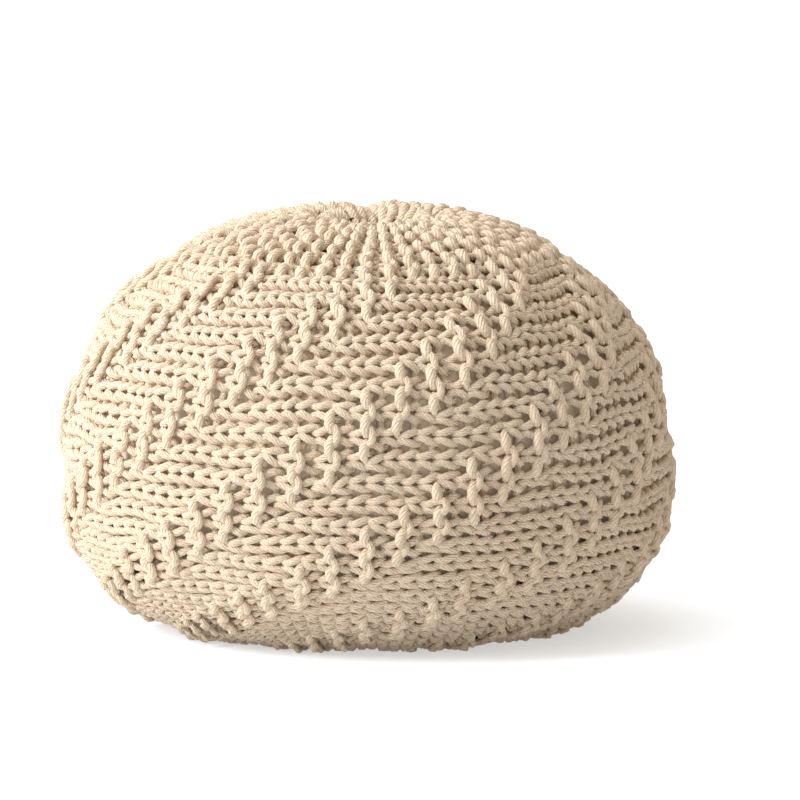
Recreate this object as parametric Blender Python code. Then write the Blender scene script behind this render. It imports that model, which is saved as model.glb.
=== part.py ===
# A knitted pouf: a round filled bag inside a chunky cotton cover.
#
# The cover is one long strip of thick cotton yarn, knitted sideways. Its courses
# stand up like the slices of an orange and its wales run level round the pouf.
# The strip's two long edges are gathered: one into the small hole on top, the
# other underneath. Short purl ridges climb the sides like a stair, and all of
# the knitting near the top gather is purl, so that ridges fan out from the hole.
# The filled bag shows in that hole and between the open stitches.
#
# Metres, +Z up. The origin is on the floor, under the middle. The front is -Y.

import math

import bmesh
import bpy

# Sizes of the whole pouf
WIDTH = 0.508               # across the ridges at the widest level
HEIGHT = 0.3556             # floor to the highest ridge beside the top gather
WIDEST_LEVEL = 0.135        # how high the widest level stands
FOOT_RADIUS = 0.150         # the flat patch that rests on the floor
CROWN_POWER = 2.25          # upper half: 2 would be an ellipse, more is squarer
BELLY_POWER = 2.70          # lower half, which the floor cuts off

# The top gather
HOLE_RADIUS = 0.011
DIMPLE_DEPTH = 0.0075       # how far the gather draws the top down
DIMPLE_RADIUS = 0.040
GATHER_OFFSET = (0.013, -0.026)  # the gather sits to the right and to the front
GATHER_REACH = 0.200        # radius inside which the top is pulled over with it
COVER_SHIFT = 0.007         # the cover sits so much lower in front and higher behind

# The pouf is soft, so it is not quite round
SIDE_LOBES = (
    # waves round the pouf, share of the radius
    (2, 0.0060),
    (4, 0.0025),
)
LEAN_WAVES = 3              # a slow wave that grows away from the widest level
LEAN_SHARE = 0.012

# The knitting
COURSES = 108               # rows of knitting round the pouf
WALES = 39                  # stitches in a row, from the top gather down
CAP_WALES = 7               # purl on every other course beside the top gather
REPEAT_WALES = 6            # the stair of ridges repeats after so many wales
RIDGE_WALES = 2             # each ridge is so many wales long
FIRST_RIDGE_WALE = 13       # upper wale of the ridge in the middle of the front
FIRST_RIDGE_TURN = math.radians(0.5)
SIDE_RIDGE_TURN = 2 * math.pi / COURSES - FIRST_RIDGE_TURN  # from side to nearest ridge
RIBBED_WALES = 27           # wales above this one are modelled as separate ribs
CAP_RINGS = (1, 3, 6, 10, 14)  # half wales that get a ring of points on the top
WALE_WIDTHS = (
    # wale, relative width: stretched beside the gather, pressed together lower down
    (0, 1.90),
    (2, 1.32),
    (7, 1.30),
    (9, 1.40),
    (13, 1.40),
    (22, 1.00),
    (WALES, 1.00),
)

RIDGE_PROUD = 0.0036        # a purl ridge stands this far out of the plain rows
GROOVE = 0.0038             # gap between two wales, measured from their crests
CAP_GROOVE = 0.0022         # gap between two ridges that fan out from the gather

# Shell, bag and the space between them
COVER_THICKNESS = 0.012
FIT_GAP = 0.0003
LINING_ROWS = 7
PROFILE_STEPS = 400
SHARP_ANGLE = math.radians(24)  # keeps the ribs and ridges crisp


def clear_scene():
    for item in list(bpy.data.objects):
        bpy.data.objects.remove(item, do_unlink=True)


def crown_point(angle, radius, crown):
    """Mean outline above the widest level, drawn down towards the gather."""
    r = radius * math.cos(angle) ** (2 / CROWN_POWER)
    z = WIDEST_LEVEL + crown * math.sin(angle) ** (2 / CROWN_POWER)
    return r, z - DIMPLE_DEPTH * math.exp(-(r / DIMPLE_RADIUS) ** 2)


def crown_height(radius):
    """Height of the undrawn crown that puts the highest ridge at HEIGHT."""
    angles = [math.pi / 2 * step / PROFILE_STEPS for step in range(PROFILE_STEPS + 1)]
    crown = HEIGHT - RIDGE_PROUD - WIDEST_LEVEL
    for _ in range(3):
        highest = max(crown_point(angle, radius, crown)[1] for angle in angles)
        crown += HEIGHT - RIDGE_PROUD - highest
    return crown


def half_outline():
    """Mean outline of the cover as (radius, height), from the hole to the foot."""
    radius = WIDTH / 2 / math.cos(SIDE_RIDGE_TURN) - RIDGE_PROUD
    crown = crown_height(radius)
    points = []
    for step in range(PROFILE_STEPS + 1):
        r, z = crown_point(math.pi / 2 * (1 - step / PROFILE_STEPS), radius, crown)
        if r >= HOLE_RADIUS:
            points.append((r, z))
    foot_share = (FOOT_RADIUS / radius) ** BELLY_POWER
    depth = WIDEST_LEVEL / (1 - foot_share) ** (1 / BELLY_POWER)
    for step in range(1, PROFILE_STEPS + 1):
        drop = WIDEST_LEVEL * math.sin(math.pi / 2 * step / PROFILE_STEPS)
        share = 1 - (drop / depth) ** BELLY_POWER
        points.append((radius * share ** (1 / BELLY_POWER), WIDEST_LEVEL - drop))
    return points


def with_lengths(points):
    """Adds to each outline point its distance along the outline from the hole."""
    rows = [(0.0, *points[0])]
    for (r, z) in points[1:]:
        along, last_r, last_z = rows[-1]
        rows.append((along + math.hypot(r - last_r, z - last_z), r, z))
    return rows


OUTLINE = with_lengths(half_outline())
EDGE_LENGTH = OUTLINE[-1][0]
FULL_LENGTH = EDGE_LENGTH + FOOT_RADIUS - HOLE_RADIUS


def outline_at(along):
    """Radius, height and outward direction at a distance along the outline."""
    along = min(max(along, 0.0), EDGE_LENGTH)
    low, high = 0, len(OUTLINE) - 1
    while high - low > 1:
        middle = (low + high) // 2
        if OUTLINE[middle][0] <= along:
            low = middle
        else:
            high = middle
    start, r0, z0 = OUTLINE[low]
    end, r1, z1 = OUTLINE[high]
    share = (along - start) / (end - start)
    length = math.hypot(r1 - r0, z1 - z0)
    out_r = (z0 - z1) / length
    out_z = (r1 - r0) / length
    return r0 + share * (r1 - r0), z0 + share * (z1 - z0), out_r, out_z


def wale_width(position):
    """Relative width of the knitting at a place counted in wales."""
    for (start, wide), (end, narrow) in zip(WALE_WIDTHS, WALE_WIDTHS[1:]):
        if position <= end:
            return wide + (position - start) / (end - start) * (narrow - wide)
    return WALE_WIDTHS[-1][1]


def wale_edges():
    """Distance along the outline of each edge between two wales."""
    edges = [0.0]
    for wale in range(WALES):
        edges.append(edges[-1] + wale_width(wale + 0.5))
    return [edge * FULL_LENGTH / edges[-1] for edge in edges]


def is_purl(wale, course):
    """True where the stitch is a purl, which is what a ridge is made of."""
    if course % 2:
        return False
    if wale < CAP_WALES:
        return True
    return (wale + course // 2 - FIRST_RIDGE_WALE) % REPEAT_WALES < RIDGE_WALES


def height_at(half_wale, course):
    """How proud the knitting stands at an edge (even) or a wale's crest (odd)."""
    below = half_wale // 2
    if half_wale % 2:
        purl = is_purl(below, course)
    else:
        purl = is_purl(below - 1, course) or is_purl(below, course)
    if purl:
        return RIDGE_PROUD
    if half_wale < 2 * CAP_WALES:
        return -CAP_GROOVE
    if half_wale % 2 == 0 and half_wale <= 2 * RIBBED_WALES:
        return -GROOVE
    return 0.0


def place(along, turn, proud):
    """A point of the pouf: distance down the side, turn from the front, height."""
    share = min(along / EDGE_LENGTH, 1.0)
    along += COVER_SHIFT * math.sin(math.pi * share) * math.cos(turn)
    r, z, out_r, out_z = outline_at(along)
    r += proud * out_r
    z = max(z + proud * out_z, 0.0)
    swell = sum(share * math.sin(waves * turn) for waves, share in SIDE_LOBES)
    away = (z - WIDEST_LEVEL) / HEIGHT
    swell += LEAN_SHARE * away * math.sin(LEAN_WAVES * turn + 1.0)
    r *= 1 + swell
    pull = 0.0
    if z > WIDEST_LEVEL:
        pull = max(0.0, 1 - r / GATHER_REACH) ** 2
    shift_x, shift_y = (pull * offset for offset in GATHER_OFFSET)
    return (r * math.sin(turn) + shift_x, -r * math.cos(turn) + shift_y, z)


def ring(mesh, along, columns, proud_of):
    """One level ring of vertices; proud_of gives each column's height."""
    verts = []
    for column in range(columns):
        turn = FIRST_RIDGE_TURN + 2 * math.pi * column / columns
        verts.append(mesh.verts.new(place(along, turn, proud_of(column))))
    return verts


def bridge(mesh, upper, lower):
    """Quads between two rings of the same count, facing away from the middle."""
    count = len(upper)
    for i in range(count):
        j = (i + 1) % count
        mesh.faces.new((upper[i], lower[i], lower[j], upper[j]))


def bridge_to_double(mesh, upper, lower):
    """Triangles between a ring and a lower ring with twice as many vertices."""
    count = len(upper)
    for i in range(count):
        j = (i + 1) % count
        first, middle, last = lower[2 * i], lower[2 * i + 1], lower[(2 * i + 2) % len(lower)]
        mesh.faces.new((upper[i], first, middle))
        mesh.faces.new((upper[i], middle, upper[j]))
        mesh.faces.new((upper[j], middle, last))


def fan(mesh, rim, centre, facing_down):
    """A flat cap from a ring to its middle point."""
    tip = mesh.verts.new(centre)
    count = len(rim)
    for i in range(count):
        j = (i + 1) % count
        if facing_down:
            mesh.faces.new((rim[j], rim[i], tip))
        else:
            mesh.faces.new((rim[i], rim[j], tip))


def finish(mesh, name, colour, roughness):
    """Turns the bmesh into a smooth-shaded object with its own material."""
    data = bpy.data.meshes.new(name)
    bmesh.ops.recalc_face_normals(mesh, faces=mesh.faces)
    mesh.to_mesh(data)
    mesh.free()
    data.shade_smooth()
    data.set_sharp_from_angle(angle=SHARP_ANGLE)
    material = bpy.data.materials.new(name)
    material.use_nodes = True
    shader = material.node_tree.nodes["Principled BSDF"]
    shader.inputs["Base Color"].default_value = (*colour, 1.0)
    shader.inputs["Roughness"].default_value = roughness
    shader.inputs["Metallic"].default_value = 0.0
    data.materials.append(material)
    made = bpy.data.objects.new(name, data)
    bpy.context.scene.collection.objects.link(made)
    return made


def inside_floor(proud):
    """Height of the flat bottom, so far inside the outline's foot."""
    _, z, _, out_z = outline_at(EDGE_LENGTH)
    return z + proud * out_z


def lining_levels():
    """Distances along the outline of the rings inside the cover and of the bag."""
    return [EDGE_LENGTH * row / (LINING_ROWS - 1) for row in range(LINING_ROWS)]


def cover_rows():
    """Rings of the cover below the hole, as (distance, half wale)."""
    edges = wale_edges()
    rows = [((edges[half // 2] + edges[(half + 1) // 2]) / 2, half) for half in CAP_RINGS]
    wale = CAP_WALES
    while edges[wale + 1] < EDGE_LENGTH:
        if wale < RIBBED_WALES:
            rows.append(((edges[wale] + edges[wale + 1]) / 2, 2 * wale + 1))
        rows.append((edges[wale + 1], 2 * wale + 2))
        wale += 1
    return rows


def make_cover():
    """The knitted shell: ribs and ridges outside, smooth inside, open at the hole."""
    mesh = bmesh.new()
    ridges = COURSES // 2
    rim = ring(mesh, 0.0, ridges, lambda column: 0.0)
    rings = []
    for along, half_wale in cover_rows():
        rings.append(ring(mesh, along, COURSES, lambda course: height_at(half_wale, course)))
    rings.append(ring(mesh, EDGE_LENGTH, COURSES, lambda course: 0.0))
    bridge_to_double(mesh, rim, rings[0])
    for upper, lower in zip(rings, rings[1:]):
        bridge(mesh, upper, lower)
    fan(mesh, rings[-1], (0.0, 0.0, 0.0), True)
    upper = rim
    for along in lining_levels():
        lower = ring(mesh, along, ridges, lambda column: -COVER_THICKNESS)
        bridge(mesh, upper, lower)
        upper = lower
    fan(mesh, upper, (0.0, 0.0, inside_floor(-COVER_THICKNESS)), False)
    return finish(mesh, "knitted_cover", (0.86, 0.72, 0.54), 0.9)


def make_bag():
    """The filled bag: the inside of the cover, less the fitting gap."""
    mesh = bmesh.new()
    depth = -COVER_THICKNESS - FIT_GAP
    rows = [ring(mesh, along, COURSES // 2, lambda column: depth) for along in lining_levels()]
    for upper, lower in zip(rows, rows[1:]):
        bridge(mesh, upper, lower)
    top = sum(vert.co.z for vert in rows[0]) / len(rows[0])
    fan(mesh, rows[0], (*GATHER_OFFSET, top), False)
    fan(mesh, rows[-1], (0.0, 0.0, inside_floor(depth)), True)
    return finish(mesh, "inner_bag", (0.90, 0.77, 0.60), 0.85)


clear_scene()
for made in (make_cover(), make_bag()):
    made.data.calc_loop_triangles()
    low = [min(v.co[i] for v in made.data.vertices) for i in range(3)]
    high = [max(v.co[i] for v in made.data.vertices) for i in range(3)]
    size = " x ".join(f"{(h - l) * 1000:.1f}" for l, h in zip(low, high))
    print(f"{made.name}: {len(made.data.loop_triangles)} triangles, {size} mm")
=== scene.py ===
# %% [markdown]
# # A knitted cotton pouf
#
# The real thing is a bag of filling inside a cover that is knitted from thick cotton
# yarn. We load the plain construction model first. Everything below is built around
# it, in metres, with the floor at zero height and the front towards -Y.

# %% Load the construction model
import math

import bpy
import numpy as np
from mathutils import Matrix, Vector


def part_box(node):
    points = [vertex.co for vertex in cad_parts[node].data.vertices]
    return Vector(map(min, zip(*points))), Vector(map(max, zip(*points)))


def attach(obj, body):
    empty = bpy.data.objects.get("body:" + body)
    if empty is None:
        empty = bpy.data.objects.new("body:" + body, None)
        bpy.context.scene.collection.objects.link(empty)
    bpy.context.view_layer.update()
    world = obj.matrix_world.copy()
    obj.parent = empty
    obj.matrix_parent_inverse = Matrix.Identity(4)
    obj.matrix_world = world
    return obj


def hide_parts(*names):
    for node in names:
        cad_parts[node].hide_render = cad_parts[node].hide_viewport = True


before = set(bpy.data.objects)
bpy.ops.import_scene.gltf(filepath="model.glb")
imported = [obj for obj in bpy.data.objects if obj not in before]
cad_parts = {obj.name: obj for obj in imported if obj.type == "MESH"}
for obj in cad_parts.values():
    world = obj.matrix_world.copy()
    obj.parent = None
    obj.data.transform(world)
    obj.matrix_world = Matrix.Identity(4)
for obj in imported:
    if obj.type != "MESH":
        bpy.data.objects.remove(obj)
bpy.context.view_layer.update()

LOW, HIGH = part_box("knitted_cover")
WIDTH = HIGH.x - LOW.x
HEIGHT = HIGH.z - LOW.z
print(f"the pouf is {WIDTH * 1000:.0f} mm across and {HEIGHT * 1000:.0f} mm high")

# %% [markdown]
# ## The outline
#
# A pouf is turned, more or less: one outline, swung round a middle axis. We write the
# outline as two superellipse arcs that meet at the widest level, because such an arc
# gets fuller or leaner with one number. A gather draws the top down a little, and the
# floor cuts the bottom off flat.

# %% The measures of the outline
WIDEST_LEVEL = 0.135
FOOT_RADIUS = 0.150
CROWN_POWER = 2.25          # over 2, an arc is fuller than an ellipse
BELLY_POWER = 2.70
HOLE_RADIUS = 0.011
DIMPLE_DEPTH = 0.0105
DIMPLE_RADIUS = 0.040
SIDE_ROOM = 0.0020          # left free at the sides for the ridges that stand out
TOP_ROOM = 0.0140           # left free above for the bumps and the slope of the top
BODY_RADIUS = WIDTH / 2 - SIDE_ROOM
BODY_HEIGHT = HEIGHT - TOP_ROOM
STEPS = 600
print(f"the body is {BODY_RADIUS * 2000:.0f} mm wide at {WIDEST_LEVEL * 1000:.0f} mm")

# %% The two arcs
def crown_outline(crown):
    """The upper arc, from the middle of the top to the widest level."""
    angle = np.linspace(math.pi / 2, 0, STEPS)
    r = BODY_RADIUS * np.cos(angle).clip(0) ** (2 / CROWN_POWER)
    z = WIDEST_LEVEL + crown * np.sin(angle) ** (2 / CROWN_POWER)
    return r, z - DIMPLE_DEPTH * np.exp(-(r / DIMPLE_RADIUS) ** 2)


def belly_outline():
    """The lower arc, from the widest level to the edge of the flat foot."""
    foot_share = (FOOT_RADIUS / BODY_RADIUS) ** BELLY_POWER
    depth = WIDEST_LEVEL / (1 - foot_share) ** (1 / BELLY_POWER)
    drop = WIDEST_LEVEL * np.sin(np.linspace(0, math.pi / 2, STEPS))[1:]
    r = BODY_RADIUS * (1 - (drop / depth) ** BELLY_POWER) ** (1 / BELLY_POWER)
    return r, WIDEST_LEVEL - drop


crown = BODY_HEIGHT - WIDEST_LEVEL
for _ in range(3):
    # the dimple lowers the highest point, so the arc is raised until it is right
    crown += BODY_HEIGHT - crown_outline(crown)[1].max()
print(f"the crown rises {crown * 1000:.0f} mm over the widest level")

# %% [markdown]
# ## One line from gather to gather
#
# The edge of the knitting is tucked into the top hole, so the line starts with a short
# throat. Then come the crown, the belly and the flat underside. We measure the line by
# the distance along it from the edge of the hole, because that is how knitting is
# counted: so many stitches from the gather.

# %% Join the arcs and measure along them
THROAT_DEPTH = 0.022
THROAT_RADIUS = 0.006
THROAT_STEPS = 12
UNDER_STEPS = 60
crown_r, crown_z = crown_outline(crown)
above = crown_r >= HOLE_RADIUS
belly_r, belly_z = belly_outline()
throat = np.linspace(1, 0, THROAT_STEPS)[:-1]
throat_r = HOLE_RADIUS - (HOLE_RADIUS - THROAT_RADIUS) * np.sin(throat * math.pi / 2)
throat_z = crown_z[above][0] - THROAT_DEPTH * (1 - np.cos(throat * math.pi / 2))
under_r = np.linspace(FOOT_RADIUS, HOLE_RADIUS, UNDER_STEPS)[1:]
outline_r = np.concatenate([throat_r, crown_r[above], belly_r, under_r])
outline_z = np.concatenate([throat_z, crown_z[above], belly_z, np.zeros(len(under_r))])
steps = np.hypot(np.diff(outline_r), np.diff(outline_z))
outline_s = np.concatenate([[0.0], np.cumsum(steps)])
outline_s -= outline_s[len(throat)]
EDGE_LENGTH = outline_s[-len(under_r) - 1]
WIDEST_LENGTH = outline_s[len(throat) + above.sum()]
FULL_LENGTH = outline_s[-1]
out_r = -np.gradient(outline_z, outline_s)
out_z = np.gradient(outline_r, outline_s)
print(f"from gather to gather it is {FULL_LENGTH * 1000:.0f} mm round the side")

# %% [markdown]
# ## What makes it soft
#
# A stuffed bag is never quite round. Slow lobes swell its sides. The gathered top leans
# down to the front, off the middle, and two soft folds run away from it. The cover has
# also slipped a little: it sits lower in front and higher behind. All of this is done
# by plain sums on the points, so that the stitches stay linked.

# %% The sizes of the unevenness
SIDE_LOBES = (
    # waves round the pouf, share of the radius
    (2, 0.0060),
    (4, 0.0025),
)
LEAN_WAVES = 3
LEAN_SHARE = 0.012
LEAN_PHASE = 1.0
GATHER_OFFSET = (0.013, -0.026)
GATHER_REACH = 0.200
GATHER_TILT = 0.10          # slope of the gathered top, down towards the front
GATHER_FOLDS = (
    # turn, half width, depth and length of the folds that run from the gather
    (math.radians(186), math.radians(9), 0.0075, 0.110),
    (math.radians(-12), math.radians(17), 0.0080, 0.070),
)
COVER_SHIFT = 0.007         # the cover sits so much lower in front and higher behind
print(f"{len(GATHER_FOLDS)} folds, and a cover {COVER_SHIFT * 1000:.0f} mm out of place")

# %% [markdown]
# ## Setting points on the pouf
#
# Every stitch is first worked out flat, as a place along the outline, a turn round the
# pouf and a height above the fabric. One function then sets such points on the real
# shape.

# %% From flat knitting to the round pouf
def swollen(r, z, turn):
    """The radius with the slow lobes of a soft body."""
    swell = sum(height * np.sin(waves * turn) for waves, height in SIDE_LOBES)
    away = (z - WIDEST_LEVEL) / HEIGHT
    swell = swell + LEAN_SHARE * away * np.sin(LEAN_WAVES * turn + LEAN_PHASE)
    return r * (1 + swell)


def gathered(r, z, turn):
    """The pull of the gather, and the heights with its slope and its folds."""
    pull = np.where(z > WIDEST_LEVEL, (1 - r / GATHER_REACH).clip(0) ** 2, 0)
    z = z + GATHER_TILT * pull * r * np.cos(turn + math.pi)
    on_top = z > WIDEST_LEVEL
    for fold_turn, half_width, depth, reach in GATHER_FOLDS:
        aside = (turn - fold_turn + math.pi) % (2 * math.pi) - math.pi
        fold = np.exp(-(aside / half_width) ** 2) * np.sin(math.pi * (r / reach).clip(0, 1))
        z = z - depth * fold * on_top
    return pull, z


def place(along, turn, proud):
    """Points of the pouf and their outward directions, for arrays of flat positions."""
    share = np.clip(along / EDGE_LENGTH, 0, 1)
    along = along + COVER_SHIFT * np.sin(math.pi * share) * np.cos(turn)
    nr = np.interp(along, outline_s, out_r)
    nz = np.interp(along, outline_s, out_z)
    length = np.hypot(nr, nz)
    nr, nz = nr / length, nz / length
    r = np.interp(along, outline_s, outline_r) + proud * nr
    z = np.interp(along, outline_s, outline_z) + proud * nz
    r = swollen(r, z, turn)
    pull, z = gathered(r, z, turn)
    point = np.stack([r * np.sin(turn) + pull * GATHER_OFFSET[0],
                      -r * np.cos(turn) + pull * GATHER_OFFSET[1], z], axis=-1)
    outward = np.stack([nr * np.sin(turn), -nr * np.cos(turn), nz], axis=-1)
    return point, outward


side_point, _ = place(np.array([WIDEST_LENGTH]), np.array([math.pi / 2]), 0)
print(f"the right side is {side_point[0, 0] * 1000:.0f} mm from the middle")

# %% [markdown]
# ## The knitting chart
#
# The cover is knitted sideways. Each course runs from the top gather to the bottom one,
# and each wale runs level round the pouf. Plain stitches show as rows of V shapes lying
# on their side. A purl stitch shows its bumps instead, and a short column of purls makes
# an upright ridge. Each ridge sits one wale higher than the last, so the ridges climb
# like a stair. Beside the gathers every second course is purl.

# %% Where the ridges are
COURSES = 108
WALES = 39
CAP_WALES = 7
FOOT_WALES = 7
REPEAT_WALES = 6
RIDGE_WALES = 2
FIRST_RIDGE_WALE = 13
FIRST_RIDGE_TURN = math.radians(0.5)
COURSE_TURN = 2 * math.pi / COURSES


def purl_chart():
    """1 where a stitch is purl and 0 where it is plain, by wale and course."""
    wale, course = np.mgrid[0:WALES, 0:COURSES]
    stair = (wale + course // 2 - FIRST_RIDGE_WALE) % REPEAT_WALES < RIDGE_WALES
    at_gather = (wale < CAP_WALES) | (wale >= WALES - FOOT_WALES)
    return ((course % 2 == 0) & (stair | at_gather)).astype(float)


PURL = purl_chart()
print(f"{WALES * COURSES} stitches, {int(PURL.sum())} of them purl")

# %% [markdown]
# ## How wide the wales are
#
# The same stitch is wider where the cover is pulled and narrower where it is pressed
# together. A short table holds the widths, and everything between is interpolated.

# %% The edges of the wales
WALE_WIDTHS = (
    # wale, relative width: stretched beside the gather, pressed together lower down
    (0, 1.90),
    (2, 1.32),
    (7, 1.30),
    (9, 1.40),
    (13, 1.40),
    (22, 1.00),
    (WALES, 1.00),
)
pitch = np.interp(np.arange(WALES) + 0.5, *zip(*WALE_WIDTHS))
WALE_EDGES = np.concatenate([[0.0], np.cumsum(pitch)]) * FULL_LENGTH / pitch.sum()
print(f"a wale is {np.diff(WALE_EDGES).max() * 1000:.1f} mm at most")

# %% [markdown]
# ## One stitch
#
# A stitch is a loop of yarn that is pulled through the loop before it. Its head and its
# foot lie behind the neighbours' legs, and its two legs lie in front of them. A sine of
# twice the angle draws the loop in at its neck, which makes the legs spread like a V.

# %% The measures of the yarn and its loops
YARN_WIDTH = 0.0065
YARN_DEPTH = 0.0059
LEG_CLOSE = 0.125           # from a wale's middle line to a leg where the V closes
LEG_WIDE = 0.315            # the same where the V opens; both in wales
CLOSEST_LEGS = 0.36         # the least that LEG_CLOSE comes to, in yarns
LOOP_REACH = 0.735          # half a loop's length, in courses
ROOMY_COURSE = 0.0085       # below this width a loop loses its narrow neck
WEAVE_DEPTH = 0.0030        # how far the yarn dips each side of the fabric's middle
WEAVE_SKEW = 1.22           # over 1, a leg stands highest near its closed end
MIDDLE_DEPTH = -(YARN_DEPTH / 2 + WEAVE_DEPTH)
POINTS_PER_STITCH = 14
POINTS_UNDERNEATH = 8


def smooth(x):
    """0 below 0, 1 above 1, and a soft step between."""
    x = np.clip(x, 0, 1)
    return x * x * (3 - 2 * x)


def course_angles():
    """The wale and the angle along its loop for every point of a course."""
    wales, angles = [], []
    for wale in range(WALES):
        count = POINTS_PER_STITCH if wale < WALES - FOOT_WALES else POINTS_UNDERNEATH
        wales.append(np.full(count, wale))
        angles.append(-math.pi + 2 * math.pi * (np.arange(count) + 0.5) / count)
    return np.concatenate(wales), np.concatenate(angles)


WALE_OF, ANGLE_OF = course_angles()
print(f"{len(WALE_OF)} points in a course")

# %% [markdown]
# ## No two stitches alike
#
# Hands never pull two loops equally tight. Each stitch gets six random numbers, one for
# each thing that can vary, and they are rougher beside the gather. The seed is fixed, so
# the pouf is the same every time.

# %% How loose each stitch is
CAP_LOOSENESS = 1.7
CLOSE_LOOSE = 0.00022
WIDE_LOOSE = 0.00035
REACH_LOOSE = 0.05
HEIGHT_LOOSE = 0.0004
SHIFT_LOOSE = 0.0005
BUMP_LOOSE = 0.0009
RANDOM = np.random.default_rng(11)
LOOSE = RANDOM.normal(0, 1, (WALES, COURSES, 6)).clip(-2, 2)
LOOSE[:CAP_WALES] *= CAP_LOOSENESS
print(f"the loosest leg is {LOOSE[:, :, 1].max() * WIDE_LOOSE * 1000:.1f} mm out of line")

# %% [markdown]
# ## The loop seen from the front
#
# Low down on the side the courses crowd together. Real yarn is squeezed thinner there,
# the V shapes close up, and the stitches bulge. Without that the lowest rows would melt
# into one smooth skin.

# %% Where the yarn runs along the fabric
FOOT_START = 0.240          # the radius below which the courses begin to crowd
FOOT_FADE = 0.06
FOOT_SLIM = 0.26            # how much thinner the yarn is at the foot
FOOT_CLOSE = 0.09           # how much narrower the V shapes are there
FOOT_WEAVE = 0.55           # how much deeper the stitches are there


def foot_crowding(along, radius):
    """1 where the courses crowd together low down on the side, 0 higher up."""
    return smooth((FOOT_START - radius) / FOOT_FADE) * (along > WIDEST_LENGTH)


def loop_outline(middle, width, radius, low_down, loose):
    """Each point's place along the outline, and its step across the courses."""
    t = ANGLE_OF
    tight = smooth(radius * COURSE_TURN / ROOMY_COURSE)
    close = np.maximum(LEG_CLOSE * width, CLOSEST_LEGS * YARN_WIDTH) + CLOSE_LOOSE * loose[:, 0]
    wide = LEG_WIDE * width * (1 - FOOT_CLOSE * low_down) + WIDE_LOOSE * loose[:, 1]
    bow = ((wide - close) / 2 + width / 8) * tight
    draw = (width / 2 - wide - close) / math.sqrt(2) * tight
    along = middle + width * t / (2 * math.pi) + bow * np.sin(2 * t) - draw * np.sin(t)
    along = along + SHIFT_LOOSE * loose[:, 4] * np.cos(t / 2)
    step = LOOP_REACH * (1 + REACH_LOOSE * loose[:, 2] * np.cos(t / 2)) * np.cos(t)
    return along, step


print(f"at the foot the yarn is {YARN_WIDTH * (1 - FOOT_SLIM) * 1000:.1f} mm thick")

# %% [markdown]
# ## Plain or purl
#
# A purl is the same loop seen from the back, so its heights are turned over. The head
# of a loop belongs to the next course, which pulls it through, and the foot to its own.

# %% Read the chart along the yarn
EDGE_BIAS = 0.6             # how far a ridge's end loops stay in front
LOOP_FOOT = math.radians(130)
LOOP_FOOT_FADE = math.radians(50)
LOOP_HEAD = 0.35            # the head ends at this share of the half loop
LOOP_HEAD_FADE = 0.30


def purl_at(wale, course):
    """The chart read with arrays, continued past its top and bottom rows."""
    return PURL[np.clip(wale, 0, WALES - 1), course % COURSES]


def stitch_kinds(course):
    """1 for plain and -1 for purl along the yarn, and how much of it is a loop's head."""
    t = ANGLE_OF
    side = np.where(t > 0, 1, -1)
    at_foot = 0.5 * smooth((np.abs(t) - LOOP_FOOT) / LOOP_FOOT_FADE)
    own = 1 - 2 * purl_at(WALE_OF, course)
    beside = 1 - 2 * purl_at(WALE_OF + side, course)
    own = own + (beside - own) * at_foot - EDGE_BIAS * 2 * at_foot * (own != beside)
    following = 1 - 2 * purl_at(WALE_OF, course + 1)
    head = 1 - smooth((np.abs(t) / math.pi - LOOP_HEAD) / LOOP_HEAD_FADE)
    return following * head + own * (1 - head), head


print(f"{int((stitch_kinds(0)[0] < 0).sum())} points of the first course are purl")

# %% [markdown]
# ## The bumps of the gathered top
#
# On the top the free bumps of the purls are fat and round, and the thin links between
# them lie deep. Neighbouring ridges are shifted by a part of a stitch, which sets the
# bumps in a lattice like a honeycomb's.

# %% Heights and thickness of the yarn
BUMP_SWELL = 0.42           # how much thicker a free bump looks
BUMP_START = 0.6
CAP_BUMP = 0.0010           # how much more the fat bumps stand out on the top
CAP_SINK = 0.0022           # how much deeper the links lie there
CAP_STAGGER = 0.20          # shift of every second ridge, in wales
CAP_WANDER = 0.05           # an uneven shift added to it
CAP_WANDER_TURN = 5.1
HOLE_EDGE = 0.02            # inside this radius the top's bumps fade out
HOLE_FADE = 0.03
CALM_WEAVE = 0.45           # share of the weave that is left at the hole
CALM_START = 0.015
CALM_FADE = 0.035


def on_cap(last_wale, fade, radius):
    """1 on the gathered top as far as a wale, 0 beyond it and at the hole."""
    return smooth((last_wale - WALE_OF) / fade) * smooth((radius - HOLE_EDGE) / HOLE_FADE)


def cap_stagger(course):
    """How far a course is shifted along its ridge on the top, in wales."""
    wander = CAP_WANDER * math.sin(CAP_WANDER_TURN * course)
    return CAP_STAGGER * math.cos(math.pi / 2 * course) + wander


def stitch_heights(course, radius, low_down, loose):
    """Height of the yarn over the fabric's face, and its thickness as a share."""
    t = ANGLE_OF
    q = np.abs(t) / math.pi
    kind, head = stitch_kinds(course)
    purl = kind < 0
    weave = -np.cos(2 * math.pi * q ** WEAVE_SKEW) * kind
    calm = CALM_WEAVE + (1 - CALM_WEAVE) * smooth((radius - CALM_START) / CALM_FADE)
    calm = calm * (1 + FOOT_WEAVE * low_down)
    proud = MIDDLE_DEPTH + WEAVE_DEPTH * calm * weave + HEIGHT_LOOSE * loose[:, 3] * np.cos(t / 2)
    proud = proud + BUMP_LOOSE * loose[:, 5] * np.cos(t / 2) * purl
    cap = on_cap(CAP_WALES + 0.5, 1.0, radius)
    proud = proud + cap * purl * (CAP_BUMP * (1 - head) - CAP_SINK * head)
    bump = (1 - head) * smooth((q - BUMP_START) / (1 - BUMP_START)) * purl
    return proud, (1 + BUMP_SWELL * bump) * (1 - FOOT_SLIM * low_down)


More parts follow.
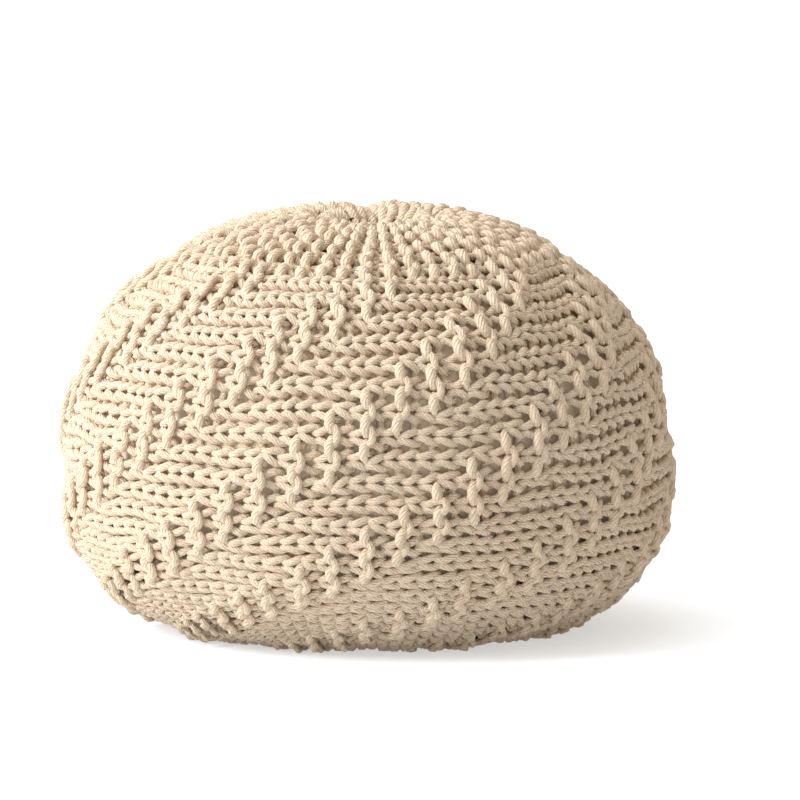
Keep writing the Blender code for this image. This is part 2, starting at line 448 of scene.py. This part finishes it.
def course_path(course):
    """Flat yarn path of one course: along, turn in courses, proud, thickness, radius."""
    loose = LOOSE[WALE_OF, course % COURSES]
    low, high = WALE_EDGES[WALE_OF], WALE_EDGES[WALE_OF + 1]
    width = high - low
    middle = (low + high) / 2
    radius = np.interp(middle, outline_s, outline_r)
    low_down = foot_crowding(middle, radius)
    along, step = loop_outline(middle, width, radius, low_down, loose)
    proud, swell = stitch_heights(course, radius, low_down, loose)
    along = along + cap_stagger(course) * width * on_cap(CAP_WALES - 0.5, 2.0, radius)
    return along, course + 0.5 + step, proud, swell, radius


print(f"a bump is {YARN_WIDTH * (1 + BUMP_SWELL) * 1000:.1f} mm thick")

# %% [markdown]
# ## The ridges stand out
#
# Purl ridges rise out of the plain knitting, and the plain courses between two of them
# sink. We lift and sink the fabric by smooth amounts that are read from the chart, so
# that a ridge starts and ends softly. A ridge is also stretched a little, because its
# loops pull straight.

# %% Functions that lift, sink and stretch
RIDGE_LIFT = 0.0050
LIFT_AT_HOLE = 0.3          # share of the lift that is left at the hole
RIDGE_SPREAD = 0.80         # half width of a ridge, in courses
RIDGE_GROOVE = 0.0020
RIDGE_STRETCH = 0.14        # how much longer a ridge is than its stitches need
STRETCH_END = 2.1           # the stretch has faded out here, in wales from the middle
STRETCH_FADE = 0.9


def ridge_amount(along, turn_courses):
    """1 on a purl ridge, 0 on plain knitting, with soft ends."""
    position = np.interp(along, WALE_EDGES, np.arange(WALES + 1)) - 0.5
    ridge = 2 * np.round(turn_courses / 2).astype(int)
    below = np.floor(position).astype(int)
    part = position - below
    amount = np.maximum(purl_at(below, ridge) * smooth(2 - 2 * part),
                        purl_at(below + 1, ridge) * smooth(2 * part))
    return amount * np.exp(-((turn_courses - ridge) / RIDGE_SPREAD) ** 2)


def groove_amount(along, turn_courses):
    """1 on the plain courses that lie between two neighbouring purl ridges."""
    return ridge_amount(along, turn_courses - 1) * ridge_amount(along, turn_courses + 1)


def ridge_middles(course):
    """Distance along the outline of the middle of the nearest ridge, for each wale."""
    wale = np.arange(WALES)
    phase = (wale + course // 2 - FIRST_RIDGE_WALE + REPEAT_WALES // 2 - 1) % REPEAT_WALES
    first = wale - phase + REPEAT_WALES // 2 - 1
    return np.interp(first + RIDGE_WALES / 2, np.arange(WALES + 1), WALE_EDGES)


def stretched(course, along):
    """The places along the outline with the ridges of a purl course drawn out."""
    aside = along - ridge_middles(course)[WALE_OF]
    width = np.diff(WALE_EDGES)[WALE_OF]
    near = smooth((STRETCH_END - np.abs(aside) / width) / STRETCH_FADE)
    return along + RIDGE_STRETCH * aside * near * (WALE_OF > CAP_WALES) * (course % 2 == 0)


print(f"a ridge stands {RIDGE_LIFT * 1000:.0f} mm proud")

# %% [markdown]
# ## Where it is crowded
#
# Near a gather there is no room for every course side by side. The yarn keeps its
# thickness, so first every fourth course and then every eighth one stays on top, and
# the others are pushed down between them.

# %% A function that pushes crowded courses under
CROWDED_RADII = (
    # every so many courses stay on top, inside this radius, over this distance
    (4, 0.062, 0.022),
    (8, 0.030, 0.014),
)
PUSH_UNDER = 0.0060
HOLE_SLIM = 0.60


def crowding(course, radius):
    """How far a course is pushed under, and how much thinner it gets there."""
    push = np.zeros_like(radius)
    for every, start, reach in CROWDED_RADII:
        if course % every:
            push = np.maximum(push, smooth((start - radius) / reach))
    slim = 1 - (1 - HOLE_SLIM) * push
    return PUSH_UNDER * push, slim


print(f"at the hole {COURSES // CROWDED_RADII[-1][0]} courses stay on top")

# %% [markdown]
# ## Slow waves in the cloth
#
# Hand knitting never lies quite straight. A sum of slow waves shifts the stitches a
# little along the outline, round the pouf and outward, all together, so that they stay
# linked.

# %% Slow random waves
DRIFT_ALONG = 0.0011
DRIFT_TURN = 0.12           # in courses
DRIFT_PROUD = 0.0007
WAVE_COUNT = 26
MOST_ROUND = 26             # most waves round the pouf
PER_METRE = (15, 70)        # radians for each metre along the outline


def drift_waves(count):
    """Random waves: times round the pouf, radians per metre along it, and phase."""
    round_count = RANDOM.integers(-MOST_ROUND, MOST_ROUND + 1, count)
    per_metre = RANDOM.uniform(*PER_METRE, count)
    phase = RANDOM.uniform(0, 2 * math.pi, count)
    return round_count, per_metre, phase


DRIFTS = [drift_waves(WAVE_COUNT) for _ in range(3)]


def drift(which, along, turn):
    """The sum of one set of waves at each point, about 1 in size."""
    round_count, per_metre, phase = DRIFTS[which]
    wave = np.sin(np.outer(turn, round_count) + np.outer(along, per_metre) + phase)
    return wave.sum(axis=1) * math.sqrt(2 / WAVE_COUNT)


print(f"{len(DRIFTS)} sets of {WAVE_COUNT} waves")

# %% [markdown]
# ## From a path to a thick yarn
#
# The yarn is a tube that is a little flat, because it is stretched over the filling. Its
# flat side always faces outward, so the tube is swept with the pouf's own outward
# direction as its guide. A curve with a round bevel could not do that, and arrays are
# quick for so many points.

# %% Sweep a tube along a path
SIDES = 8


def rings(points, outward, width, depth):
    """The vertices of a tube: one ring of them round each point."""
    tangent = np.gradient(points, axis=0)
    tangent /= np.linalg.norm(tangent, axis=1, keepdims=True)
    across = np.cross(tangent, outward)
    across /= np.linalg.norm(across, axis=1, keepdims=True)
    up = np.cross(across, tangent)
    angle = 2 * math.pi * (np.arange(SIDES) + 0.5) / SIDES - math.pi / 2
    ring = (across[:, None] * (np.cos(angle)[None, :, None] * width[:, None, None] / 2)
            + up[:, None] * (np.sin(angle)[None, :, None] * depth[:, None, None] / 2))
    return (points[:, None] + ring).reshape(-1, 3)


def sweep(points, outward, width, depth):
    """Vertices, quads and quad UVs of a closed tube along points."""
    verts = rings(points, outward, width, depth)
    row, side = np.mgrid[0:len(points) - 1, 0:SIDES]
    after = (side + 1) % SIDES
    quads = np.stack([row * SIDES + side, row * SIDES + after,
                      (row + 1) * SIDES + after, (row + 1) * SIDES + side], -1).reshape(-1, 4)
    length = np.concatenate([[0], np.cumsum(np.linalg.norm(np.diff(points, axis=0), axis=1))])
    u0, u1 = length[row], length[row + 1]
    v0, v1 = side / SIDES, (side + 1) / SIDES
    uvs = np.stack([np.stack([u0, v0], -1), np.stack([u0, v1], -1),
                    np.stack([u1, v1], -1), np.stack([u1, v0], -1)], -2).reshape(-1, 4, 2)
    return verts, quads, uvs


print(f"{SIDES} sides to a yarn")

# %% [markdown]
# ## From arrays to a mesh
#
# Blender can take whole arrays at once through foreach_set. That is far quicker than
# adding faces one by one, and this pouf has hundreds of thousands of them.

# %% Make a mesh object from arrays
def mesh_piece(name, verts, quads, uvs, ends):
    """A smooth mesh object from arrays, with its ends closed by single faces."""
    data = bpy.data.meshes.new(name)
    count = len(quads) * 4 + sum(len(end) for end in ends)
    data.vertices.add(len(verts))
    data.vertices.foreach_set("co", verts.astype(np.float32).ravel())
    data.loops.add(count)
    corners = np.concatenate([quads.ravel()] + [np.array(end) for end in ends])
    data.loops.foreach_set("vertex_index", corners.astype(np.int32))
    data.polygons.add(len(quads) + len(ends))
    sizes = np.concatenate([np.full(len(quads), 4), [len(end) for end in ends]])
    starts = np.concatenate([[0], np.cumsum(sizes)[:-1]])
    data.polygons.foreach_set("loop_start", starts.astype(np.int32))
    data.update(calc_edges=True)
    layer = data.uv_layers.new(name="yarn")
    flat = np.concatenate([uvs.reshape(-1, 2), np.zeros((count - len(quads) * 4, 2))])
    layer.data.foreach_set("uv", flat.astype(np.float32).ravel())
    data.validate()
    data.shade_smooth()
    piece = bpy.data.objects.new(name, data)
    bpy.context.scene.collection.objects.link(piece)
    return piece


print("the mesh maker is ready")

# %% [markdown]
# ## Knitting the cover
#
# The yarn runs up one course and down the next, as it does on the needles. Twelve
# courses make a panel, and nine panels go round the pouf. Nothing sinks below the floor:
# where a stitch would, it is pressed flat against it.

# %% Knit the cover, one panel of twelve courses at a time
PANEL_COURSES = 12
CALM_RADIUS = 0.08          # inside this radius the waves die down


def course_points(course):
    """Points of one course on the pouf, their outward directions and the thickness."""
    along, turn_courses, proud, swell, radius = course_path(course)
    ridge = ridge_amount(along, turn_courses)
    push, slim = crowding(course, radius)
    along = stretched(course, along)
    turn = FIRST_RIDGE_TURN + turn_courses * COURSE_TURN
    calm = smooth(radius / CALM_RADIUS)
    lift = RIDGE_LIFT * (LIFT_AT_HOLE + (1 - LIFT_AT_HOLE) * calm) * ridge
    proud = proud - RIDGE_GROOVE * groove_amount(along, turn_courses) + lift - push
    proud = proud + DRIFT_PROUD * calm * drift(0, along, turn)
    along = along + DRIFT_ALONG * calm * drift(1, along, turn)
    turn = turn + DRIFT_TURN * calm * drift(2, along, turn) * COURSE_TURN
    point, outward = place(along, turn, proud)
    thick = slim * swell
    point[:, 2] = np.maximum(point[:, 2], YARN_DEPTH * thick / 2)
    return point, outward, thick


def knit_panel(first):
    """One panel of the cover: its courses joined end to end, as the yarn really runs."""
    parts = []
    for number in range(PANEL_COURSES):
        arrays = course_points(first + number)
        parts.append([array[::-1] for array in arrays] if number % 2 else arrays)
    point, outward, thick = (np.concatenate(arrays) for arrays in zip(*parts))
    verts, quads, uvs = sweep(point, outward, YARN_WIDTH * thick, YARN_DEPTH * thick)
    ends = [list(range(SIDES))[::-1], list(range(len(verts) - SIDES, len(verts)))]
    return mesh_piece(f"yarn_panel_{first // PANEL_COURSES + 1}", verts, quads, uvs, ends)


panels = [knit_panel(first) for first in range(0, COURSES, PANEL_COURSES)]
faces = sum(len(panel.data.polygons) for panel in panels)
print(f"{len(panels)} panels, {faces * 2} triangles of yarn")

# %% [markdown]
# ## The filled bag
#
# Smooth cloth shows in the gather hole and between the stitches. It is the bag that
# holds the filling. We set a plain grid on the same outline, a little under the yarn,
# so it takes every lobe and fold of the cover.

# %% Make the filled bag
BAG_DEPTH = 0.0098
BAG_COLUMNS = 96
BAG_ROWS = 60
BAG_FIRST_ROW = 0.004
BAG_PUSH = 1.5              # near a gather the bag gives way more than the yarn does


def make_bag():
    """The bag as one closed grid, with UVs in metres for its weave."""
    along = np.concatenate([[0.0], np.linspace(BAG_FIRST_ROW, FULL_LENGTH, BAG_ROWS)])
    turn = 2 * math.pi * np.arange(BAG_COLUMNS) / BAG_COLUMNS
    along_grid, turn_grid = np.meshgrid(along, turn, indexing="ij")
    radius = np.interp(along_grid, outline_s, outline_r)
    grid, _ = place(along_grid, turn_grid, -BAG_DEPTH - crowding(1, radius)[0] * BAG_PUSH)
    verts = grid.reshape(-1, 3)
    row, column = np.mgrid[0:len(along) - 1, 0:BAG_COLUMNS]
    after = (column + 1) % BAG_COLUMNS
    quads = np.stack([row * BAG_COLUMNS + column, (row + 1) * BAG_COLUMNS + column,
                      (row + 1) * BAG_COLUMNS + after, row * BAG_COLUMNS + after], -1)
    corner_row = row.reshape(-1, 1) + np.array([0, 1, 1, 0])
    corner_column = column.reshape(-1, 1) + np.array([0, 0, 1, 1])
    round_the_bag = corner_column * 2 * math.pi * BODY_RADIUS / BAG_COLUMNS
    uvs = np.stack([round_the_bag, along[corner_row]], -1)
    ends = [list(range(BAG_COLUMNS)), list(range(len(verts) - BAG_COLUMNS, len(verts)))[::-1]]
    return mesh_piece("filled_bag", verts, quads.reshape(-1, 4), uvs, ends)


bag = make_bag()
print(f"the bag has {len(bag.data.polygons)} faces")

# %% [markdown]
# ## Helpers for materials
#
# Node trees get long when every node takes four lines. These helpers each add one kind
# of node and give back its output, so a material reads like a sum.

# %% Small helpers that add nodes
def fill_sockets(tree, sockets, values):
    """Put a number on a socket, or link another node's output to it."""
    for socket, value in zip(sockets, values):
        if isinstance(value, (int, float)):
            socket.default_value = value
        else:
            tree.links.new(value, socket)


def maths(tree, operation, *values):
    """The output of one Math node."""
    node = tree.nodes.new("ShaderNodeMath")
    node.operation = operation
    fill_sockets(tree, node.inputs, values)
    return node.outputs[0]


def combine(tree, *values):
    """The output of one Combine XYZ node."""
    node = tree.nodes.new("ShaderNodeCombineXYZ")
    fill_sockets(tree, node.inputs, values)
    return node.outputs[0]


def noise(tree, vector, scale, detail, roughness=0.5):
    """The grey output of one Noise Texture node."""
    node = tree.nodes.new("ShaderNodeTexNoise")
    node.inputs["Scale"].default_value = scale
    node.inputs["Detail"].default_value = detail
    node.inputs["Roughness"].default_value = roughness
    tree.links.new(vector, node.inputs["Vector"])
    return node.outputs["Fac"]


def colour_mix(tree, factor, first, second):
    """The colour output of one Mix node, from plain colours or other nodes."""
    node = tree.nodes.new("ShaderNodeMix")
    node.data_type = "RGBA"
    sockets = [socket for socket in node.inputs if socket.type == "RGBA"]
    for socket, value in zip(sockets, (first, second)):
        if isinstance(value, tuple):
            socket.default_value = (*value, 1)
        else:
            tree.links.new(value, socket)
    tree.links.new(factor, node.inputs[0])
    return [socket for socket in node.outputs if socket.type == "RGBA"][0]


def add_bump(tree, shader, height, strength, distance):
    """A Bump node from a height to the shader's normal."""
    bump = tree.nodes.new("ShaderNodeBump")
    bump.inputs["Strength"].default_value = strength
    bump.inputs["Distance"].default_value = distance
    tree.links.new(height, bump.inputs["Height"])
    tree.links.new(bump.outputs[0], shader.inputs["Normal"])


def group_with(name, labels):
    """An empty node group with the named number outputs, and its output node."""
    group = bpy.data.node_groups.new(name, "ShaderNodeTree")
    for label in labels:
        group.interface.new_socket(name=label, in_out="OUTPUT", socket_type="NodeSocketFloat")
    return group, group.nodes.new("NodeGroupOutput")


def uv_parts(tree):
    """The two parts of the piece's UV map."""
    uv = tree.nodes.new("ShaderNodeUVMap")
    uv.uv_map = "yarn"
    split = tree.nodes.new("ShaderNodeSeparateXYZ")
    tree.links.new(uv.outputs[0], split.inputs[0])
    return split.outputs[0], split.outputs[1]


def new_material(name, roughness):
    """A material, its node tree and its Principled shader."""
    material = bpy.data.materials.new(name)
    material.use_nodes = True
    shader = material.node_tree.nodes["Principled BSDF"]
    shader.inputs["Roughness"].default_value = roughness
    return material, material.node_tree, shader


print("the material helpers are ready")

# %% [markdown]
# ## Spun cotton
#
# The yarn is loosely spun from several strands that twist slowly round each other, and
# each strand shows its fibres as fine lines. We draw both on an unrolled cylinder: the
# UV map gives the place along the yarn in metres and the place round it from 0 to 1.

# %% A node group for strands and fibres
STRANDS = 8
TWIST = 2 * math.pi / 0.032      # radians per metre of yarn
TWIST_WANDER = 3.0               # radians by which the twist runs uneven
FURROW_POWER = 1.5
FIBRES_PER_METRE = 110.0
FIBRES_ROUND = 7.0
LUMPS_PER_METRE = 90.0
FIBRE_HEIGHT = 1.1               # heights, with that of a strand as 1
LUMP_HEIGHT = 0.9


def spun_yarn_group():
    """Height of the yarn, a mask that is 1 between its strands, and its fibres."""
    group, output = group_with("spun_yarn", ("Height", "Furrow", "Shade"))
    length, around = uv_parts(group)
    turned = maths(group, "ADD", maths(group, "MULTIPLY", around, 2 * math.pi),
                   maths(group, "MULTIPLY", length, TWIST))
    wander = noise(group, combine(group, length, 0.0, 0.0), 45.0, 1.0)
    turned = maths(group, "ADD", turned, maths(group, "MULTIPLY", wander, TWIST_WANDER))
    circle_x, circle_y = maths(group, "COSINE", turned), maths(group, "SINE", turned)
    half = maths(group, "MULTIPLY", turned, STRANDS / 2)
    strand = maths(group, "ABSOLUTE", maths(group, "SINE", half))
    furrow = maths(group, "POWER", maths(group, "SUBTRACT", 1.0, strand), FURROW_POWER)
    on_fibre = combine(group, maths(group, "MULTIPLY", length, FIBRES_PER_METRE),
                       maths(group, "MULTIPLY", circle_x, FIBRES_ROUND),
                       maths(group, "MULTIPLY", circle_y, FIBRES_ROUND))
    fibres = noise(group, on_fibre, 1.0, 3.0, 0.7)
    on_yarn = combine(group, maths(group, "MULTIPLY", length, LUMPS_PER_METRE),
                      circle_x, circle_y)
    lumps = noise(group, on_yarn, 1.2, 2.0)
    fine = maths(group, "ADD", maths(group, "MULTIPLY", fibres, FIBRE_HEIGHT),
                 maths(group, "MULTIPLY", lumps, LUMP_HEIGHT))
    group.links.new(maths(group, "ADD", strand, fine), output.inputs["Height"])
    group.links.new(furrow, output.inputs["Furrow"])
    group.links.new(fibres, output.inputs["Shade"])
    return group


SPUN = spun_yarn_group()
print(f"{STRANDS} strands in the yarn")

# %% [markdown]
# ## The colour of unbleached cotton
#
# Undyed cotton is a warm cream that is never even: some parts are pinker, some greener
# and some paler. Slow noise mixes the creams, and fine specks and streaks bring in the
# deep one. The furrows between the strands get the deep cream too, as painted shade.
# A little sheen makes it look soft.

# %% The cotton yarn
COTTON_PINK = (0.91, 0.725, 0.545)
COTTON_GREEN = (0.87, 0.745, 0.53)
# the cotton's own deep tone in specks and streaks, and also the colour of the painted shade in
# the furrows
COTTON_DEEP = (0.64, 0.42, 0.235)
COTTON_PALE = (0.95, 0.82, 0.65)
PALE_SHARE = 0.9
# painted shade: how much the furrows between the strands are darkened towards the deep cream
PAINTED_FURROW_SHADE = 0.50
SPECKLE_DIRT = 1.5
STREAK_DIRT = 1.0
# the most deep cream, for dirt and painted shade together
MOST_DIRT_AND_SHADE = 0.8


def cotton_dirt_and_shade(tree, where, spun):
    """How much of the deep cream shows: specks and streaks, and painted shade in the furrows."""
    speckle = maths(tree, "SUBTRACT", noise(tree, where, 620.0, 2.0), 0.45)
    streaks = maths(tree, "SUBTRACT", spun.outputs["Shade"], 0.42)
    fine = maths(tree, "ADD", maths(tree, "MULTIPLY", speckle, SPECKLE_DIRT),
                 maths(tree, "MULTIPLY", streaks, STREAK_DIRT))
    # the furrows' share is painted shade; the specks and streaks are the cotton's own tone
    dirt_and_shade = maths(tree, "ADD", maths(tree, "MULTIPLY", spun.outputs["Furrow"], PAINTED_FURROW_SHADE), fine)
    return maths(tree, "MAXIMUM", maths(tree, "MINIMUM", dirt_and_shade, MOST_DIRT_AND_SHADE), 0.0)


def cotton_yarn():
    """The material of the cover."""
    material, tree, shader = new_material("cotton_yarn", 0.92)
    shader.inputs["Specular IOR Level"].default_value = 0.25
    shader.inputs["Sheen Weight"].default_value = 0.25
    shader.inputs["Sheen Roughness"].default_value = 0.5
    shader.inputs["Sheen Tint"].default_value = (1.0, 0.94, 0.85, 1)
    spun = tree.nodes.new("ShaderNodeGroup")
    spun.node_tree = SPUN
    where = tree.nodes.new("ShaderNodeTexCoord").outputs["Object"]
    patches = noise(tree, where, 14.0, 3.0)
    tints = maths(tree, "SUBTRACT", noise(tree, where, 55.0, 2.0), 0.35)
    colour = colour_mix(tree, maths(tree, "MULTIPLY", tints, 3.0), COTTON_PINK, COTTON_GREEN)
    pale = maths(tree, "MULTIPLY", patches, PALE_SHARE)
    colour = colour_mix(tree, pale, colour, COTTON_PALE)
    # deep cream for specks and streaks, and painted shade in the furrows
    colour = colour_mix(tree, cotton_dirt_and_shade(tree, where, spun), colour, COTTON_DEEP)
    tree.links.new(colour, shader.inputs["Base Color"])
    add_bump(tree, shader, spun.outputs["Height"], 0.75, 0.0011)
    return material


yarn = cotton_yarn()
print(f"the yarn's material has {len(yarn.node_tree.nodes)} nodes")

# %% [markdown]
# ## The cloth of the bag
#
# The bag is plain woven cotton: threads across and along that pass over and under each
# other. Two sines multiplied give just such a chequer of high and low.

# %% The bag cloth
BAG_THREAD = 0.0011
BAG_DARK = (0.90, 0.75, 0.57)
BAG_LIGHT = (0.95, 0.83, 0.66)


def woven_group():
    """Height of a plain weave: threads across and along, one over the other."""
    group, output = group_with("plain_weave", ("Height",))
    waves = [maths(group, "SINE", maths(group, "MULTIPLY", part, math.pi / BAG_THREAD))
             for part in uv_parts(group)]
    group.links.new(maths(group, "MULTIPLY", *waves), output.inputs["Height"])
    return group


def bag_cloth():
    """The material of the bag."""
    material, tree, shader = new_material("bag_cloth", 0.9)
    weave = tree.nodes.new("ShaderNodeGroup")
    weave.node_tree = woven_group()
    where = tree.nodes.new("ShaderNodeTexCoord").outputs["Object"]
    colour = colour_mix(tree, noise(tree, where, 60.0, 3.0), BAG_DARK, BAG_LIGHT)
    tree.links.new(colour, shader.inputs["Base Color"])
    add_bump(tree, shader, weave.outputs["Height"], 0.5, 0.0003)
    return material


cloth = bag_cloth()
print(f"a thread of the bag is {BAG_THREAD * 1000:.1f} mm")

# %% [markdown]
# ## Dressing the construction model
#
# Every piece now gets its material and is tied to the plain model: which body it moves
# with and which solid it takes the place of.

# %% Tie the pieces to the model
for panel in panels:
    panel.data.materials.append(yarn)
    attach(panel, "root")
    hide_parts("knitted_cover")
bag.data.materials.append(cloth)
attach(bag, "root")
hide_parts("inner_bag")
print(f"{len(panels) + 1} pieces are dressed")

# %% [markdown]
# ## A sheet of pale paper
#
# The pouf stands on wide pale paper that goes on for ever. It glows a little, and more
# so to the eye than to the pouf, so that only the soft shadow can be seen on it.

# %% The floor
FLOOR_SIZE = 60.0
PAPER = (0.74, 0.76, 0.79)
PAPER_GLOW = 0.22           # what the pouf gets from it
PAPER_SEEN_GLOW = 0.28      # what the eye sees beyond that
bpy.ops.mesh.primitive_plane_add(size=FLOOR_SIZE)
floor = bpy.context.object
floor.name = "floor"
paper, paper_tree, paper_shader = new_material("floor_paper", 0.9)
paper_shader.inputs["Base Color"].default_value = (*PAPER, 1)
paper_shader.inputs["Emission Color"].default_value = (0.97, 0.99, 1, 1)
seen = paper_tree.nodes.new("ShaderNodeLightPath").outputs["Is Camera Ray"]
extra = maths(paper_tree, "MULTIPLY", seen, PAPER_SEEN_GLOW)
glow = maths(paper_tree, "ADD", extra, PAPER_GLOW)
paper_tree.links.new(glow, paper_shader.inputs["Emission Strength"])
floor.data.materials.append(paper)
print(f"the paper is {FLOOR_SIZE:.0f} m wide")

# %% [markdown]
# ## Two soft lamps
#
# A large lamp at the left gives the stitches their shape, and a weaker one above lights
# the gather. Both are wide, because wide lamps make soft shadows.

# %% The lamps
TARGET = Vector((0.0, 0.0, HEIGHT / 2))


def add_light(name, place_at, power, size):
    """A square lamp that faces the middle of the pouf."""
    light = bpy.data.lights.new(name, "AREA")
    light.color = (0.99, 1.0, 1.02)
    light.energy = power
    light.size = size
    lamp = bpy.data.objects.new(name, light)
    lamp.location = place_at
    lamp.rotation_euler = (TARGET - Vector(place_at)).to_track_quat("-Z", "Y").to_euler()
    bpy.context.scene.collection.objects.link(lamp)
    print(f"{name}: {power} W")


add_light("key_light", (-2.75, -1.20, 1.75), 91, 1.6)
add_light("top_light", (-0.4, -0.2, 2.8), 22, 2.0)

# %% [markdown]
# ## The walls of the studio
#
# Walls round the pouf send light back at it: bright and cool from the left, dim and warm
# from the right. A colour ramp from left to right does the work of real walls, and the
# front is dimmed a little.

# %% The studio around it
STUDIO_COLOURS = (
    # share of the way from left to right, colour
    (0.02, (1.45, 1.48, 1.58)),
    (0.30, (1.12, 1.12, 1.15)),
    (0.42, (0.83, 0.81, 0.79)),
    (0.58, (0.74, 0.71, 0.67)),
    (0.75, (0.36, 0.31, 0.26)),
    (0.98, (0.62, 0.53, 0.42)),
)
FRONT_BRIGHTNESS = 0.60     # of the studio on the camera's side
world = bpy.data.worlds.new("studio")
world.use_nodes = True
tree = world.node_tree
direction = tree.nodes.new("ShaderNodeTexCoord").outputs["Generated"]
split = tree.nodes.new("ShaderNodeSeparateXYZ")
tree.links.new(direction, split.inputs[0])
ramp = tree.nodes.new("ShaderNodeValToRGB")
ramp.color_ramp.interpolation = "EASE"
stops = ramp.color_ramp.elements
for number, (position, colour) in enumerate(STUDIO_COLOURS):
    stop = stops[0] if number == 0 else stops.new(position)
    stop.position = position
    stop.color = (*colour, 1)
stops[-1].color = stops[-2].color
to_right = maths(tree, "MULTIPLY", maths(tree, "ADD", split.outputs[0], 1.0), 0.5)
tree.links.new(to_right, ramp.inputs[0])
background = tree.nodes["Background"]
tree.links.new(ramp.outputs[0], background.inputs["Color"])
to_back = maths(tree, "MULTIPLY", split.outputs[1], 1 - FRONT_BRIGHTNESS)
brightness = maths(tree, "MINIMUM", maths(tree, "ADD", to_back, 1.0), 1.0)
tree.links.new(brightness, background.inputs["Strength"])
bpy.context.scene.world = world
bpy.context.scene.view_settings.view_transform = "Standard"
print(f"{len(STUDIO_COLOURS)} colours round the studio")

# %% [markdown]
# ## The camera
#
# A product is shot from far away with a long lens, so that it isn't bent by perspective.
# We aim at the middle of the pouf and then shift the aim, so that the pouf stands where
# we want it in the picture.

# %% Set up the camera
CAMERA_DISTANCE = 7.0
CAMERA_ELEVATION = math.radians(7.0)
PICTURE = 800
PIXELS_PER_METRE = 1208
MIDDLE_PIXEL = (366.5, 412.0)
camera_data = bpy.data.cameras.new("camera")
camera_data.lens = PIXELS_PER_METRE * CAMERA_DISTANCE / PICTURE * camera_data.sensor_width
camera = bpy.data.objects.new("camera", camera_data)
bpy.context.scene.collection.objects.link(camera)
aim = TARGET + Vector(((PICTURE / 2 - MIDDLE_PIXEL[0]) / PIXELS_PER_METRE, 0,
                       (MIDDLE_PIXEL[1] - PICTURE / 2) / PIXELS_PER_METRE))
camera.location = aim + CAMERA_DISTANCE * Vector(
    (0, -math.cos(CAMERA_ELEVATION), math.sin(CAMERA_ELEVATION)))
camera.rotation_euler = (aim - camera.location).to_track_quat("-Z", "Y").to_euler()
bpy.context.scene.camera = camera
print(f"the lens is {camera_data.lens:.0f} mm")
